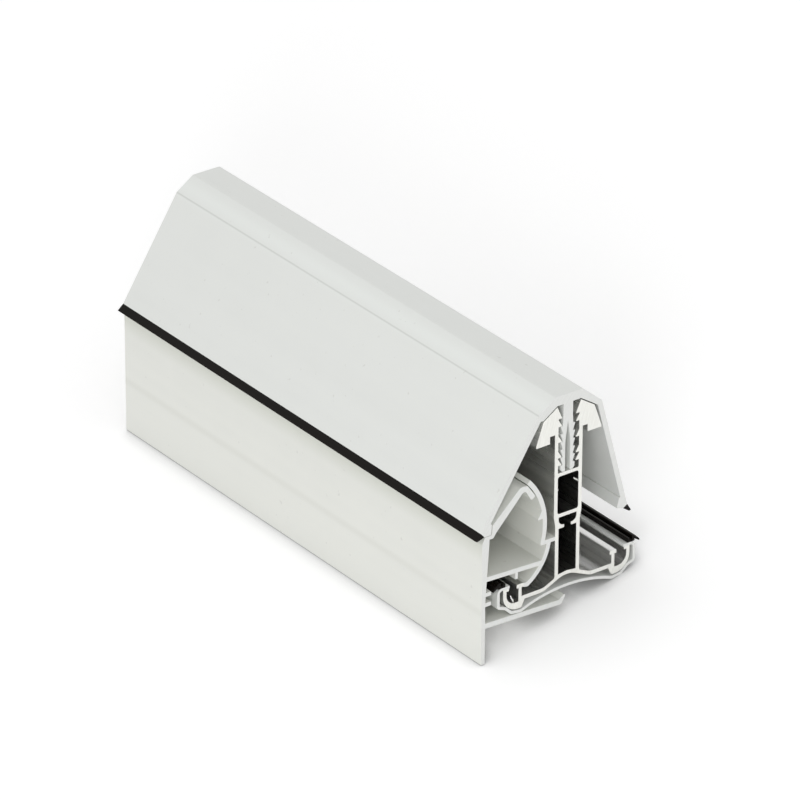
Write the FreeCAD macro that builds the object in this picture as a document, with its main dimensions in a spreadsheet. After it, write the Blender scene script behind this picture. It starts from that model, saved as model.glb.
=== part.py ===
"""Conservatory rafter bar: an aluminium bar with its snap-in top cap, under-cladding and gable closure.

Every piece is a straight extrusion, so each one is a section drawn in the plane of the cut end.
The section is drawn upright, with x across the bar, z up and the bar's length along y.
The finished sample then leans to the right until it rests on the closure's front board and
on the under-cladding, as it does when nothing holds it.
"""
import FreeCAD, Part
import math
import os
from types import SimpleNamespace

import Sketcher

DRIVING_SIZES = {
    # the whole sample
    "cut_length": 220,
    "play": 0.15,
    # stem of the aluminium bar, from the base up
    "bar_wall": 1.5,
    "stem_foot_width": 10.9,
    "stem_head_width": 12.2,
    "screw_port_height": 3.3,
    "screw_nib_thick": 1.2,
    "screw_slot": 3.0,
    "screw_port_round": 0.9,
    "stem_step_rise": 0.4,
    "stem_step_length": 3.5,
    "web_height": 23.6,
    "web_thick": 1.4,
    "bolt_chamber_height": 15.0,
    "slot_floor_thick": 1.3,
    # saw teeth inside the slot
    "tooth_pitch": 3.1,
    "tooth_depth": 1.45,
    "tooth_ramp": 2.3,
    "tooth_land": 0.3,
    "first_tooth_rise": 3.0,
    # head of the bar, which spreads like a roof
    "head_rise": 4.6,
    "head_ridge_half": 5.2,
    "head_shoulder_half": 11.3,
    "head_shoulder_drop": 4.0,
    "wing_tip_half": 14.4,
    "wing_drop": 8.8,
    "wing_edge": 0.8,
    "wing_notch_half": 8.3,
    "wing_notch_height": 2.9,
    # base of the bar and the two grooves along its edges
    "hump_height": 1.2,
    "hump_flat_half": 2.0,
    "hump_radius": 8.0,
    "chamber_floor_drop": 0.5,
    "trough_half": 10.5,
    "trough_depth": 2.6,
    "trough_radius": 6.0,
    "corner_radius": 1.0,
    "groove_inner_half": 20.05,
    "groove_arm_wall": 1.35,
    "groove_width": 5.35,
    "groove_depth": 4.4,
    "groove_corner": 3.9,
    "tee_low": 1.0,
    "tee_high": 2.5,
    "tee_overhang": 0.85,
    "outer_arm_wall": 1.45,
    "outer_arm_height": 2.2,
    "outer_nib_reach": 1.1,
    "outer_nib_thick": 1.0,
    "nib_round": 0.35,
    "bulb_depth": 7.1,
    "bulb_radius": 6.5,
    "bulb_heel_radius": 1.3,
    "bulb_heel_lean": 1.4,
    # top cap
    "cap_wall": 2.1,
    "cap_headroom": 2.0,
    "cap_seat_gap": 0.5,
    "cap_flat_half": 6.0,
    "left_shoulder_reach": 2.1,
    "left_shoulder_drop": 5.0,
    "right_shoulder_reach": 3.3,
    "right_shoulder_drop": 7.3,
    "cap_edge_radius": 1.2,
    "right_flank_length": 47.0,
    "right_flank_room": 0.58,
    "cap_foot_width": 4.6,
    "cap_foot_set_in": 3.91,
    "cap_foot_rise": 0.9,
    "cap_foot_height": 3.6,
    "cap_rib": 0.6,
    "leg_offset": 0.4,
    "neck_inset": 0.2,
    "leg_wall": 1.2,
    "leg_gap_taper": 8.0,
    "leg_gap_radius": 25.0,
    "leg_room": 0.85,
    "barb_reach": 0.8,
    "leg_split_drop": 2.0,
    "leg_foot_height": 1.0,
    "lip_length": 3.3,
    "lip_tip": 0.9,
    "lip_turn": 17.0,
    # under-cladding
    "cladding_wall": 1.1,
    "cladding_side_room": 1.5,
    "cladding_lip_reach": 2.8,
    "cladding_bevel": 2.1,
    "cladding_side_lift": 2.5,
    "cladding_step_inset": 0.8,
    "cladding_step_lift": 1.2,
    "cladding_foot_tuck": 3.0,
    "cladding_foot_room": 0.25,
    "cladding_low_inset": 8.0,
    "cladding_low_drop": 0.55,
    "cladding_belly_rise": 3.8,
    "cladding_corner_radius": 1.2,
    # glazing gasket on each lip of the under-cladding
    "gasket_set_back": 0.9,
    "gasket_base": 3.1,
    "gasket_inner_height": 1.7,
    "gasket_height": 2.4,
    "gasket_dip": 0.8,
    "gasket_rib": 1.1,
    "gasket_round": 0.3,
    "gasket_fin_reach": 2.2,
    "gasket_fin_fall": 2.2,
    "gasket_fin_thick": 0.8,
    # gable closure
    "board_room": 5.3,
    "board_bottom": 24.8,
    "board_wall": 1.6,
    "board_top_wall": 3.2,
    "crown_height": 26.15,
    "crown_bevel": 1.3,
    "hinge_depth": 1.15,
    "shelf_top": 10.0,
    "shelf_wall": 1.8,
    "shelf_fall": 1.2,
    "closure_wall": 1.8,
    "upper_centre_set_in": 0.1,
    "upper_centre_drop": 2.95,
    "upper_wall_room": 3.05,
    "upper_end_angle": 1.5,
    "lower_centre_reach": 8.3,
    "lower_centre_height": 18.1,
    "lower_wall_room": 1.65,
    "lower_end_angle": -60.0,
    "fin_height": 14.9,
    "fin_thick": 1.5,
    "prong_reach": 2.5,
    "prong_thick": 1.5,
    "prong_high": 2.2,
    "prong_low": -1.8,
    "closure_foot_wall": 2.0,
    "closure_foot_fall": 1.3,
    "closure_foot_end": 3.2,
    "closure_foot_hook": 1.6,
    "closure_foot_tip": 1.0,
    "drip_reach": 3.7,
    "drip_wall": 1.1,
    "drip_depth": 3.2,
    "arm_wall": 2.4,
    "arm_root_wall": 4.4,
    "arm_knee_angle": 47.0,
    "arm_knee_inset": 1.7,
    "arm_knee_radius": 3.0,
    "arm_inner_radius": 1.2,
    "latch_start_angle": 5.5,
    "latch_span_angle": 13.5,
    "latch_hook": 2.1,
    "latch_round": 0.5,
    "latch_play": 0.3,
    "ratchet_depth": 2.3,
    "ratchet_low_angle": 5.0,
    "ratchet_span_angle": 9.0,
}

# The slot has a tooth in these rows, counted from its floor; the rows between them are plain.
TOOTH_ROWS = (0, 1, 3, 5, 6)
# The cap's legs have a barb below each of these rows.
BARB_ROWS = (1, 2, 3, 4, 5)


class Size:
    """A length or an angle: its number, and the text that ties a constraint to the sheet."""

    def __init__(self, text, number):
        self.text = text
        self.number = number

    def __add__(self, other):
        other = as_size(other)
        return Size(f"({self.text} + {other.text})", self.number + other.number)

    def __radd__(self, other):
        return as_size(other) + self

    def __sub__(self, other):
        other = as_size(other)
        return Size(f"({self.text} - {other.text})", self.number - other.number)

    def __rsub__(self, other):
        return as_size(other) - self

    def __mul__(self, other):
        other = as_size(other)
        return Size(f"({self.text} * {other.text})", self.number * other.number)

    def __rmul__(self, other):
        return as_size(other) * self

    def __truediv__(self, other):
        other = as_size(other)
        return Size(f"({self.text} / {other.text})", self.number / other.number)

    def __neg__(self):
        return Size(f"(0 - {self.text})", -self.number)


def as_size(value):
    """A plain number counts as a size that no cell changes."""
    if isinstance(value, Size):
        return value
    return Size(str(value), float(value))


def sine(angle):
    return Size(f"sin({angle.text})", math.sin(math.radians(angle.number)))


def cosine(angle):
    return Size(f"cos({angle.text})", math.cos(math.radians(angle.number)))


def angle_of(rise, run):
    """The angle of a slope, in degrees, written as a plain number for the sheet."""
    return Size(f"(atan2({rise.text}; {run.text}) / 1 deg)",
                math.degrees(math.atan2(rise.number, run.number)))


def arc_sine(ratio):
    return Size(f"(asin({ratio.text}) / 1 deg)", math.degrees(math.asin(ratio.number)))


def arc_cosine(ratio):
    return Size(f"(acos({ratio.text}) / 1 deg)", math.degrees(math.acos(ratio.number)))


def root(value):
    return Size(f"sqrt({value.text})", math.sqrt(value.number))


def fill_sheet(doc):
    """Put every driving size in a cell of its own, with its name beside it and as its alias."""
    sheet = doc.addObject("Spreadsheet::Sheet", "Sizes")
    for row, (name, number) in enumerate(DRIVING_SIZES.items(), start=1):
        sheet.set(f"A{row}", name)
        sheet.set(f"B{row}", str(number))
        sheet.setAlias(f"B{row}", name)
    doc.recompute()
    return SimpleNamespace(**{name: Size(f"Sizes.{name}", number)
                              for name, number in DRIVING_SIZES.items()})


def point(x, z):
    return FreeCAD.Vector(x, z, 0)


class Drawing:
    """A sketch in the plane of the cut end: its x is the bar's x and its y is the bar's z.

    Constraints wait in a list and go in together, because a sketch solves itself at each call.
    """

    def __init__(self, doc, name):
        self.sketch = doc.addObject("Sketcher::SketchObject", name)
        quarter_turn = FreeCAD.Rotation(FreeCAD.Vector(1, 0, 0), 90)
        self.sketch.Placement = FreeCAD.Placement(FreeCAD.Vector(), quarter_turn)
        self.constraints = []
        self.bindings = {}

    def add(self, geometry, construction=False):
        return self.sketch.addGeometry(geometry, construction)

    def hold(self, kind, *where, size=None):
        """Add a constraint, and tie its value to the sheet where it has a size."""
        if size is None:
            self.constraints.append(Sketcher.Constraint(kind, *where))
            return
        self.bindings[len(self.constraints)] = size.text
        self.constraints.append(Sketcher.Constraint(kind, *where, size.number))

    def pin(self, geometry, which, x, z):
        """Hold one point at x, z with two dimensions from the origin."""
        for kind, axis, size in (("DistanceX", -2, x), ("DistanceY", -1, z)):
            if abs(size.number) < 1e-9:
                self.hold("PointOnObject", geometry, which, axis)
            else:
                self.hold(kind, -1, 1, geometry, which, size=size)

    def finish(self):
        self.sketch.addConstraint(self.constraints)
        for index, text in self.bindings.items():
            self.sketch.setExpression(f"Constraints[{index}]", text)
        return self.sketch


def unit(start, end):
    return (end - start) * (1 / start.distanceToPoint(end))


def draw(drawing, corners, closed=True):
    """Draw straight edges from corner to corner, with an arc where a corner gives a radius."""
    places = [(as_size(corner[0]), as_size(corner[1])) for corner in corners]
    tips = [point(x.number, z.number) for x, z in places]
    count = len(corners)
    rounded = [len(corner) > 2 for corner in corners]
    entering, leaving = list(tips), list(tips)
    for k in range(count):
        if rounded[k]:
            before = unit(tips[k], tips[k - 1])
            after = unit(tips[k], tips[(k + 1) % count])
            back = as_size(corners[k][2]).number / math.tan(before.getAngle(after) / 2)
            entering[k] = tips[k] + before * back
            leaving[k] = tips[k] + after * back
    edges = count if closed else count - 1
    lines = [drawing.add(Part.LineSegment(leaving[k], entering[(k + 1) % count]))
             for k in range(edges)]
    for k in range(count):
        if k == 0 and not closed:
            drawing.pin(lines[0], 1, *places[0])
        elif k == count - 1 and not closed:
            drawing.pin(lines[-1], 2, *places[-1])
        elif rounded[k]:
            round_corner(drawing, lines[k - 1], lines[k], places[k], as_size(corners[k][2]))
        else:
            drawing.hold("Coincident", lines[k - 1], 2, lines[k], 1)
            drawing.pin(lines[k], 1, *places[k])


def round_corner(drawing, line_in, line_out, place, radius):
    """Join two lines with a tangent arc, and keep their sharp corner as a construction point."""
    start = drawing.sketch.Geometry[line_in].EndPoint
    end = drawing.sketch.Geometry[line_out].StartPoint
    tip = point(place[0].number, place[1].number)
    to_centre = math.hypot(radius.number, start.distanceToPoint(tip))
    through = tip + unit(tip, (start + end) * 0.5) * (to_centre - radius.number)
    arc = drawing.add(Part.Arc(start, through, end))
    forward = drawing.sketch.getPoint(arc, 1).distanceToPoint(start) < 1e-6
    arc_start, arc_end = (1, 2) if forward else (2, 1)
    corner = drawing.add(Part.Point(tip), True)
    drawing.hold("Tangent", line_in, 2, arc, arc_start)
    drawing.hold("Tangent", arc, arc_end, line_out, 1)
    drawing.hold("PointOnObject", corner, 1, line_in)
    drawing.hold("PointOnObject", corner, 1, line_out)
    drawing.hold("Radius", arc, size=radius)
    drawing.pin(corner, 1, *place)


def bar_of(doc, name, section, length):
    """Carry a flat section along the whole length of the bar."""
    bar = doc.addObject("Part::Extrusion", name)
    bar.Base = section
    bar.DirMode = "Custom"
    bar.Dir = FreeCAD.Vector(0, 1, 0)
    bar.Solid = True
    bar.setExpression("LengthFwd", length.text)
    return bar


def outline_bar(doc, name, corners, length):
    """A solid bar with one closed outline."""
    drawing = Drawing(doc, name + "Section")
    draw(drawing, corners)
    return bar_of(doc, name, drawing.finish(), length)


def sheet_bar(doc, name, path, wall, length):
    """A bar that is one sheet of even wall: the path is its outer face, walked left to right."""
    drawing = Drawing(doc, name + "Path")
    draw(drawing, path, closed=False)
    skin = doc.addObject("Part::Offset2D", name + "Skin")
    skin.Source = drawing.finish()
    skin.Mode = "Skin"
    skin.Join = "Intersection"
    skin.Fill = True
    skin.Value = -wall.number
    skin.setExpression("Value", f"-({wall.text})")
    return bar_of(doc, name, skin, length)


def ring_bar(doc, name, centre, radius, wall, angles, length):
    """A curved wall round a centre, between two angles, with its thickness inside the radius."""
    drawing = Drawing(doc, name + "Section")
    middle = point(centre[0].number, centre[1].number)
    start, end = (math.radians(angle.number) for angle in angles)
    arcs = []
    for size in (radius, radius - wall):
        circle = Part.Circle(middle, FreeCAD.Vector(0, 0, 1), size.number)
        arcs.append(drawing.add(Part.ArcOfCircle(circle, start, end)))
        drawing.hold("Radius", arcs[-1], size=size)
    outer, inner = arcs
    drawing.hold("Coincident", outer, 3, inner, 3)
    drawing.pin(outer, 3, *centre)
    for which, angle in ((1, angles[0]), (2, angles[1])):
        tips = [drawing.sketch.getPoint(arc, which) for arc in (inner, outer)]
        end_line = drawing.add(Part.LineSegment(*tips))
        drawing.hold("Coincident", end_line, 1, inner, which)
        drawing.hold("Coincident", end_line, 2, outer, which)
        drawing.hold("PointOnObject", outer, 3, end_line)
        if abs(sine(angle).number) < 0.7:
            drawing.hold("DistanceY", -1, 1, outer, which, size=centre[1] + radius * sine(angle))
        else:
            drawing.hold("DistanceX", -1, 1, outer, which, size=centre[0] + radius * cosine(angle))
    return bar_of(doc, name, drawing.finish(), length)


def mirror_image(doc, name, piece):
    """The same piece on the other side of the bar's middle plane."""
    image = doc.addObject("Part::Mirroring", name)
    image.Source = piece
    image.Normal = FreeCAD.Vector(1, 0, 0)
    return image


def joined(doc, name, pieces):
    """One moulded piece from walls that run into each other."""
    whole = doc.addObject("Part::MultiFuse", name)
    whole.Shapes = pieces
    whole.Refine = True
    return whole


def bar_heights(s):
    """The levels that the bar's webs, slot and head share with the pieces that fit them."""
    chamber_floor = s.web_height + s.web_thick
    slot_bottom = chamber_floor + s.bolt_chamber_height + s.slot_floor_thick
    first_tooth = slot_bottom + s.first_tooth_rise
    mouth = first_tooth + s.tooth_pitch * max(TOOTH_ROWS) + s.tooth_land
    ridge = mouth + s.head_rise
    shoulder = ridge - s.head_shoulder_drop
    return SimpleNamespace(chamber_floor=chamber_floor, slot_bottom=slot_bottom,
                           first_tooth=first_tooth, mouth=mouth, ridge=ridge,
                           shoulder=shoulder, wing_tip=shoulder - s.wing_drop)


def slot_half(s):
    """Half the width of the slot, between its teeth."""
    return s.stem_head_width / 2 - s.bar_wall


def tooth_corners(s, underside, root_half):
    """One saw tooth of the slot's right side, from its flat underside up to its ramp."""
    tip = root_half - s.tooth_depth
    land = underside + s.tooth_land
    return [(root_half, underside), (tip, underside), (tip, land), (root_half, land + s.tooth_ramp)]


def slot_corners(s, levels):
    """The right wall of the slot, from its floor up past its teeth to its mouth."""
    root_half = slot_half(s)
    corners = [(as_size(0), levels.slot_bottom), (root_half, levels.slot_bottom, s.nib_round)]
    for row in TOOTH_ROWS:
        corners += tooth_corners(s, levels.first_tooth + s.tooth_pitch * row, root_half)
    # The highest tooth carries on into the bevel of the mouth instead of a ramp.
    return corners[:-1]


def head_corners(s, levels):
    """The roof-like head, from the ridge beside the slot out to the wing and in to the stem."""
    wing_under = levels.wing_tip - s.wing_edge
    notch_top = wing_under + s.wing_notch_height
    step_high = s.web_height + s.stem_step_rise
    return [
        (s.head_ridge_half, levels.ridge),
        (s.head_shoulder_half, levels.shoulder, s.corner_radius),
        (s.wing_tip_half, levels.wing_tip),
        (s.wing_tip_half, wing_under),
        (s.wing_notch_half, wing_under),
        (s.wing_notch_half, notch_top),
        (s.stem_head_width / 2, notch_top),
        (s.stem_head_width / 2, step_high),
        (s.stem_foot_width / 2, step_high - s.stem_step_length),
    ]


def chamber_corners(s, levels):
    """The inside of the stem, from the base up: screw chamber, web, bolt chamber, slot floor."""
    low_half = s.stem_foot_width / 2 - s.bar_wall
    high_half = s.stem_head_width / 2 - s.bar_wall
    nib_top = s.web_height - s.screw_port_height
    nib_low = nib_top - s.screw_nib_thick
    port_radius = (low_half - s.screw_slot / 2) * s.screw_port_round
    chamber_top = levels.chamber_floor + s.bolt_chamber_height
    centre = as_size(0)
    return [
        (centre, s.hump_height),
        (low_half, s.hump_height - s.chamber_floor_drop),
        (low_half, nib_low),
        (s.screw_slot / 2, nib_low, s.nib_round),
        (s.screw_slot / 2, nib_top),
        (low_half, nib_top, port_radius),
        (low_half, s.web_height),
        (centre, s.web_height),
        (centre, levels.chamber_floor),
        (high_half, levels.chamber_floor, s.corner_radius),
        (high_half, chamber_top, s.corner_radius),
        (centre, chamber_top),
    ]


def hump_top(s, x):
    """The level of the humped base's upper face at a distance from the middle."""
    fall = (s.hump_height + s.trough_depth) / (s.trough_half - s.hump_flat_half)
    return s.hump_height - (x - s.hump_flat_half) * fall


def aluminium_bar(doc, s, levels):
    """The extruded bar: roof-like head, toothed slot, box stem, humped base and edge grooves."""
    half_outline = (slot_corners(s, levels) + head_corners(s, levels) + base_corners(s)
                    + chamber_corners(s, levels))
    right = outline_bar(doc, "RightHalfBar", half_outline, s.cut_length)
    left = mirror_image(doc, "LeftHalfBar", right)
    return joined(doc, "AluminiumBar", [right, left])


def groove_faces(s):
    """The distances of the edge groove's two walls and of the base's outer face from the middle."""
    inner = s.groove_inner_half + s.groove_arm_wall
    outer = inner + s.groove_width
    return SimpleNamespace(inner=inner, outer=outer, edge=outer + s.outer_arm_wall)


def tee_edge(s):
    """How far out the inner edge of the tee on a groove's inner wall stands."""
    return s.groove_inner_half - s.tee_overhang


def tee_corners(s, groove):
    """The inner arm of the edge groove, with its flat head that a gasket or a clip hooks under."""
    inside = tee_edge(s)
    outside = groove.inner + s.tee_overhang
    return [
        (s.groove_inner_half, s.tee_low),
        (inside, s.tee_low),
        (inside, s.tee_high, s.nib_round),
        (outside, s.tee_high, s.nib_round),
        (outside, s.tee_low),
        (groove.inner, s.tee_low),
    ]


def base_corners(s):
    """The right half of the base, from the stem's foot over the edge groove and back under."""
    groove = groove_faces(s)
    stem_half = s.stem_foot_width / 2
    nib_half = groove.outer - s.outer_nib_reach
    nib_low = s.outer_arm_height - s.outer_nib_thick
    under_flange = -s.trough_depth - s.bar_wall
    heel = s.groove_inner_half
    return [
        (stem_half, hump_top(s, stem_half), s.corner_radius),
        (s.trough_half, -s.trough_depth, s.trough_radius),
        (s.groove_inner_half, -s.trough_depth),
        *tee_corners(s, groove),
        (groove.inner, -s.groove_depth, s.nib_round),
        (groove.outer, -s.groove_depth, s.groove_corner),
        (groove.outer, nib_low),
        (nib_half, nib_low),
        (nib_half, s.outer_arm_height, s.nib_round),
        (groove.edge, s.outer_arm_height),
        (groove.edge, -s.bulb_depth, s.bulb_radius),
        (heel, -s.bulb_depth, s.bulb_heel_radius),
        (heel - s.bulb_heel_lean, under_flange),
        (s.trough_half, under_flange, s.trough_radius),
        (s.hump_flat_half, s.hump_height - s.bar_wall, s.hump_radius),
        (as_size(0), s.hump_height - s.bar_wall),
    ]


def cap_levels(s, levels):
    """The cap's outer top and its two flanks."""
    top = levels.ridge + s.cap_headroom + s.cap_wall
    return SimpleNamespace(top=top, left=left_flank(s, top), right=right_flank(s, levels, top))


def left_flank(s, top):
    """The flank that reaches down from its shoulder to a foot on the closure's crown.

    Its swing is how far it leans out from the vertical.
    """
    half = s.head_shoulder_half + s.left_shoulder_reach
    shoulder = top - s.left_shoulder_drop
    across = front_face(s) - s.cap_foot_set_in - half
    down = shoulder - s.crown_height - s.play
    reach_squared = across * across + down * down
    along = root(reach_squared - s.cap_foot_width * s.cap_foot_width)
    swing = angle_of(s.cap_foot_width, along) + angle_of(across, down)
    return SimpleNamespace(half=half, shoulder=shoulder, swing=swing,
                           length=along + s.cap_foot_rise)


def right_flank(s, levels, top):
    """The flank that hangs from its shoulder, its inner face close beside the bar's wing."""
    half = s.head_shoulder_half + s.right_shoulder_reach
    shoulder = top - s.right_shoulder_drop
    across = s.wing_tip_half - half
    down = shoulder - levels.wing_tip
    reach = root(across * across + down * down)
    swing = angle_of(across, down) + arc_sine((s.cap_wall + s.right_flank_room) / reach)
    return SimpleNamespace(half=half, shoulder=shoulder, swing=swing,
                           length=s.right_flank_length)


def flank_of(cap, side):
    return cap.right if side > 0 else cap.left


def on_flank(cap, side, along, inward):
    """A point of a flank: so far down its outer face from the shoulder, and so far inside it."""
    flank = flank_of(cap, side)
    x = flank.half + along * sine(flank.swing) - inward * cosine(flank.swing)
    z = flank.shoulder - along * cosine(flank.swing) - inward * sine(flank.swing)
    return (x * side, z)


def cap_foot(doc, s, cap, side):
    """The thick foot inside a flank's lower end."""
    end = flank_of(cap, side).length
    zero = as_size(0)
    corners = [
        on_flank(cap, side, end, zero),
        on_flank(cap, side, end + s.cap_rib, s.cap_wall),
        on_flank(cap, side, end - s.cap_foot_rise, s.cap_foot_width),
        on_flank(cap, side, end - s.cap_foot_rise - s.cap_foot_height, s.cap_wall + s.cap_rib),
        on_flank(cap, side, end - s.cap_foot_rise - s.cap_foot_height, zero),
    ]
    name = "RightCapFoot" if side > 0 else "LeftCapFoot"
    return outline_bar(doc, name, corners, s.cut_length)


def leg_core(s):
    """Half the width over both legs, between their barbs, with room beside the slot's teeth."""
    return slot_half(s) - s.tooth_depth - s.leg_room


def leg_corners(s, levels):
    """The outer face of one leg, from the neck down over its barbs to its foot."""
    core = leg_core(s)
    tip = core + s.barb_reach
    foot = levels.slot_bottom + s.play
    corners = [(core - s.neck_inset, levels.mouth)]
    for row in reversed(BARB_ROWS):
        ledge = levels.first_tooth + s.tooth_pitch * row - s.play
        corners += [(core, ledge), (tip, ledge), (tip, ledge - s.tooth_land),
                    (core, ledge - s.tooth_land - s.tooth_ramp)]
    ankle = levels.first_tooth - s.play
    corners += [(core, ankle), (tip, ankle), (tip, foot + s.leg_foot_height), (core, foot)]
    return corners


def cap_legs(doc, s, levels, cap):
    """The neck and its two springy legs, which the slot's teeth hold by their barbs."""
    inside_cap = cap.top - s.cap_wall / 2
    centre = as_size(0)
    neck_half = leg_core(s) - s.neck_inset
    gap_half = leg_core(s) - s.leg_wall
    split = levels.mouth - s.leg_split_drop
    corners = [(centre, inside_cap), (neck_half, inside_cap)] + leg_corners(s, levels)
    corners += [
        (gap_half, levels.slot_bottom + s.play),
        (gap_half, split - s.leg_gap_taper, s.leg_gap_radius),
        (centre, split),
    ]
    right = outline_bar(doc, "RightCapLeg", corners, s.cut_length)
    legs = joined(doc, "CapLegs", [right, mirror_image(doc, "LeftCapLeg", right)])
    legs.setExpression("Placement.Base.x", f"-{s.leg_offset.text}")
    return legs


def cap_seat(doc, s, levels, cap, side):
    """Half of the cap's thick middle, which fills the room above the bar's head to a thin gap."""
    flank = flank_of(cap, side)
    centre = as_size(0)
    in_skin = s.cap_wall / 2
    corners = [
        (centre, levels.ridge + s.cap_seat_gap),
        (s.head_ridge_half * side, levels.ridge + s.cap_seat_gap),
        (s.head_shoulder_half * side, levels.shoulder + s.cap_seat_gap),
        on_flank(cap, side, s.cap_wall, in_skin),
        ((flank.half - in_skin) * side, flank.shoulder - in_skin),
        ((s.cap_flat_half - in_skin) * side, cap.top - in_skin),
        (centre, cap.top - in_skin),
    ]
    name = "RightCapSeat" if side > 0 else "LeftCapSeat"
    return outline_bar(doc, name, corners, s.cut_length)


def top_cap(doc, s, levels, cap):
    """The white cap: a folded skin over the head, two feet and the legs that hold it down."""
    zero = as_size(0)
    path = [
        on_flank(cap, -1, cap.left.length, zero),
        (-cap.left.half, cap.left.shoulder, s.cap_edge_radius),
        (-s.cap_flat_half, cap.top, s.cap_edge_radius),
        (s.cap_flat_half, cap.top, s.cap_edge_radius),
        (cap.right.half, cap.right.shoulder, s.cap_edge_radius),
        on_flank(cap, 1, cap.right.length, zero),
    ]
    skin = sheet_bar(doc, "CapSkin", path, s.cap_wall, s.cut_length)
    feet = [cap_foot(doc, s, cap, side) for side in (-1, 1)]
    seat = [cap_seat(doc, s, levels, cap, side) for side in (-1, 1)]
    return joined(doc, "TopCap", [skin, *feet, *seat, cap_legs(doc, s, levels, cap)])


def cap_lip(doc, s, cap, side):
    """A soft lip on a flank's end, turned outwards so that it wipes the pane or the board."""
    end = flank_of(cap, side).length
    turn = s.lip_turn
    base_in = end + s.cap_rib
    tip_down = end + s.lip_length * cosine(turn)
    tip_out = s.lip_length * sine(turn)
    corners = [
        on_flank(cap, side, end, as_size(0)),
        on_flank(cap, side, base_in, s.cap_wall),
        on_flank(cap, side, tip_down, s.lip_tip - tip_out),
        on_flank(cap, side, tip_down, -tip_out),
    ]
    name = "RightCapLip" if side > 0 else "LeftCapLip"
    return outline_bar(doc, name, corners, s.cut_length)


def cladding_low(s):
    """How far out and how deep the trough's lowest edge lies."""
    depth = s.bulb_depth + s.cladding_foot_room + s.cladding_wall + s.cladding_low_drop
    return groove_faces(s).edge - s.cladding_low_inset, depth


def trough_side(s):
    """How far out the outer face of the trough's side stands."""
    return groove_faces(s).edge + s.cladding_side_room + s.cladding_wall


def trough_corners(s):
    """The outer face of the trough's right side, from its lowest edge up and over to its lip."""
    edge = groove_faces(s).edge
    low_half, low_depth = cladding_low(s)
    side = trough_side(s)
    foot_inset = s.bulb_radius - s.cladding_foot_tuck
    step_depth = s.bulb_depth - s.cladding_step_lift
    side_depth = s.bulb_depth - s.cladding_side_lift
    lip_top = s.outer_arm_height + s.cladding_wall
    radius = s.cladding_corner_radius
    return [
        (low_half, -low_depth),
        (edge - foot_inset, s.cladding_low_drop - low_depth, radius),
        (edge - s.cladding_step_inset, -step_depth, radius),
        (side, -side_depth, radius),
        (side, lip_top, s.cladding_bevel),
        (edge - s.cladding_lip_reach, lip_top),
    ]


def under_cladding(doc, s):
    """The white trough under the base, with its two edges hooked over the bar's outer arms."""
    right = sheet_bar(doc, "RightTroughSide", trough_corners(s), -s.cladding_wall, s.cut_length)
    left = mirror_image(doc, "LeftTroughSide", right)
    return joined(doc, "UnderCladding", [left, right, cladding_belly(doc, s)])


def cladding_belly(doc, s):
    """The shallow arch between the trough's two low edges, of one even wall."""
    half, depth = cladding_low(s)
    rise = s.cladding_belly_rise
    radius = (half * half + rise * rise) / (rise * 2)
    centre = (as_size(0), rise - depth - radius)
    edge_angle = arc_cosine(half / radius)
    angles = (edge_angle, 180 - edge_angle)
    return ring_bar(doc, "TroughBelly", centre, radius + s.cladding_wall, s.cladding_wall,
                    angles, s.cut_length)


def cladding_gasket(doc, s, side):
    """The soft strip on a lip of the trough: two ribs, and a fin that a pane presses down."""
    inner = groove_faces(s).edge - s.gasket_set_back
    outer = inner + s.gasket_base
    tip = outer + s.gasket_fin_reach
    base = s.outer_arm_height + s.cladding_wall
    top = base + s.gasket_height
    tip_top = top - s.gasket_fin_fall
    corners = [
        (inner, base),
        (inner, base + s.gasket_inner_height, s.gasket_round),
        (inner + s.gasket_rib, base + s.gasket_inner_height, s.gasket_round),
        (inner + s.gasket_rib, base + s.gasket_dip),
        (outer - s.gasket_rib, base + s.gasket_dip),
        (outer - s.gasket_rib, top, s.gasket_round),
        (outer, top, s.gasket_round),
        (tip, tip_top, s.gasket_round),
        (tip, tip_top - s.gasket_fin_thick),
        (outer, top - s.gasket_fin_thick * 2),
        (outer, base),
    ]
    name = "RightGasket" if side > 0 else "LeftGasket"
    placed = [(x * side, *rest) for x, *rest in corners]
    return outline_bar(doc, name, placed, s.cut_length)


def front_face(s):
    """How far out the closure's board stands, with room for its ribs beside the trough."""
    return trough_side(s) + s.board_room + s.board_wall


def hinge_height(s):
    return s.crown_height - s.hinge_depth


def closure_board(s):
    """The front board of the closure, which thickens inwards towards the hinge."""
    face = front_face(s)
    inner = face - s.board_wall
    inner_top = face - s.board_top_wall
    return [
        (-face, -s.board_bottom),
        (-inner, -s.board_bottom),
        (-inner, as_size(0)),
        (-inner_top, hinge_height(s) - s.closure_wall),
        (-inner_top, s.crown_height),
        (-face + s.crown_bevel, s.crown_height),
        (-face, s.crown_height - s.crown_bevel * 2),
    ]


def closure_foot(s):
    """The long foot under the trough, which ends in a small upturned hook."""
    back = front_face(s) - s.board_wall / 2
    low_half, low_depth = cladding_low(s)
    slope = s.closure_foot_fall / (back - s.closure_foot_end)
    touch = -low_depth - s.play
    top_back = touch + slope * (back - low_half)
    top_end = touch - slope * (low_half - s.closure_foot_end)
    wall = s.closure_foot_wall
    hook_top = top_end + s.closure_foot_hook
    tip = s.closure_foot_end - wall - s.closure_foot_tip
    return [
        (-back, top_back),
        (-back, top_back - wall),
        (-s.closure_foot_end + s.closure_foot_tip, top_end - wall, s.closure_foot_tip),
        (-tip, hook_top, s.latch_round),
        (-tip - s.closure_foot_tip, hook_top),
        (-s.closure_foot_end, top_end),
    ]


def closure_prong(s, height):
    """A short rib on the board's inner face."""
    back = front_face(s) - s.board_wall / 2
    tip = front_face(s) - s.board_wall - s.prong_reach
    return [(-back, height), (-tip, height), (-tip, height + s.prong_thick),
            (-back, height + s.prong_thick)]


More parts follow.
